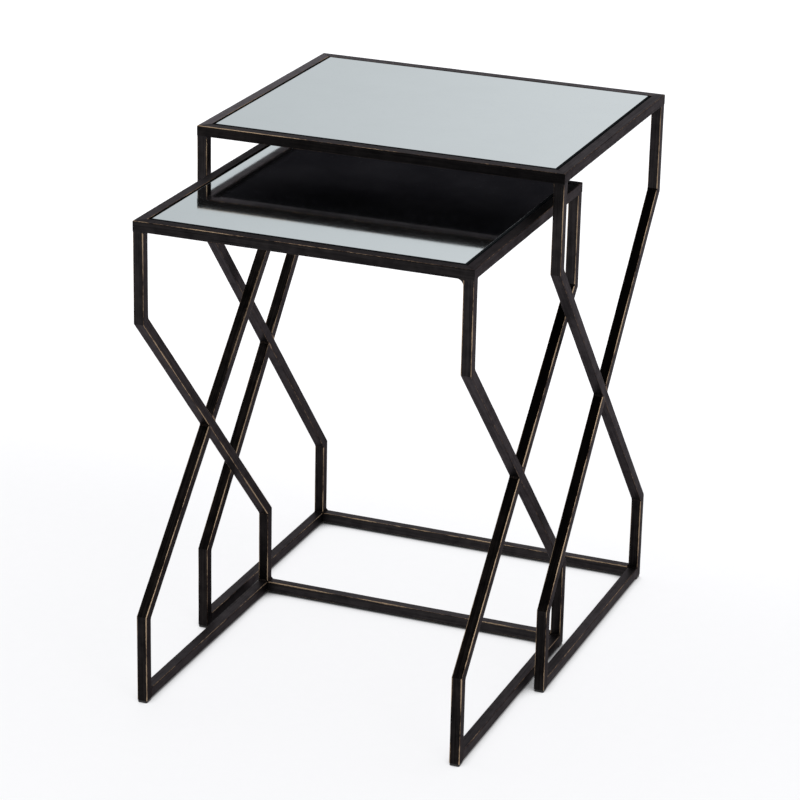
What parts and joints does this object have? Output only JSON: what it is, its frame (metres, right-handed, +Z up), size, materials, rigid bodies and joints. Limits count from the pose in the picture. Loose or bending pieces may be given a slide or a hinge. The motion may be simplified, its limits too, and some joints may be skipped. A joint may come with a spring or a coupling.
{
  "type": "nesting tables",
  "caption": "Nesting side tables with mirror tops set in welded square-bar frames on crossed, bent legs; the smaller table slides out from under the larger.",
  "frame": {"origin": "on the floor, in the middle of the box that holds both tables as they stand, the small one drawn partly out", "axes": "+X to the right, -Y to the front, where the small table is drawn out, +Z up"},
  "size_m": [0.43, 0.563, 0.61],
  "materials": {
    "blackened_steel": "charcoal bronze patina, satin, rubbed through to bronze along the edges",
    "mirror_glass": "polished mirror with a fine ground arris, its edge blacked",
    "black_board": "black-painted fibreboard, matt",
    "dark_felt": "dense dark felt"
  },
  "bodies": {
    "large_table": {"large_top_rail_front": "blackened_steel", "large_top_rail_right": "blackened_steel", "large_top_rail_rear": "blackened_steel", "large_top_rail_left": "blackened_steel", "large_mirror_top": "mirror_glass", "large_backing_board": "black_board", "large_board_ledge_front": "blackened_steel", "large_board_ledge_rear": "blackened_steel", "large_left_front_upper_leg": "blackened_steel", "large_left_whole_diagonal": "blackened_steel", "large_left_rear_lower_leg": "blackened_steel", "large_left_rear_upper_leg": "blackened_steel", "large_left_upper_half_diagonal": "blackened_steel", "large_left_lower_half_diagonal": "blackened_steel", "large_left_front_lower_leg": "blackened_steel", "large_left_floor_rail": "blackened_steel", "large_right_front_upper_leg": "blackened_steel", "large_right_whole_diagonal": "blackened_steel", "large_right_rear_lower_leg": "blackened_steel", "large_right_rear_upper_leg": "blackened_steel", "large_right_upper_half_diagonal": "blackened_steel", "large_right_lower_half_diagonal": "blackened_steel", "large_right_front_lower_leg": "blackened_steel", "large_right_floor_rail": "blackened_steel", "large_rear_floor_crossbar": "blackened_steel", "large_front_left_glide": "dark_felt", "large_rear_left_glide": "dark_felt", "large_front_right_glide": "dark_felt", "large_rear_right_glide": "dark_felt"},
    "small_table": {"small_top_rail_front": "blackened_steel", "small_top_rail_right": "blackened_steel", "small_top_rail_rear": "blackened_steel", "small_top_rail_left": "blackened_steel", "small_mirror_top": "mirror_glass", "small_backing_board": "black_board", "small_board_ledge_front": "blackened_steel", "small_board_ledge_rear": "blackened_steel", "small_left_front_upper_leg": "blackened_steel", "small_left_whole_diagonal": "blackened_steel", "small_left_rear_lower_leg": "blackened_steel", "small_left_rear_upper_leg": "blackened_steel", "small_left_upper_half_diagonal": "blackened_steel", "small_left_lower_half_diagonal": "blackened_steel", "small_left_front_lower_leg": "blackened_steel", "small_left_floor_rail": "blackened_steel", "small_right_front_upper_leg": "blackened_steel", "small_right_whole_diagonal": "blackened_steel", "small_right_rear_lower_leg": "blackened_steel", "small_right_rear_upper_leg": "blackened_steel", "small_right_upper_half_diagonal": "blackened_steel", "small_right_lower_half_diagonal": "blackened_steel", "small_right_front_lower_leg": "blackened_steel", "small_right_floor_rail": "blackened_steel", "small_rear_floor_crossbar": "blackened_steel", "small_front_left_glide": "dark_felt", "small_rear_left_glide": "dark_felt", "small_front_right_glide": "dark_felt", "small_rear_right_glide": "dark_felt"}
  },
  "joints": [
    {"name": "small_table_slide", "type": "slide", "parent": "large_table", "child": "small_table", "axis": [0, 1, 0], "range_m": [-0.135, 0.21]}
  ]
}
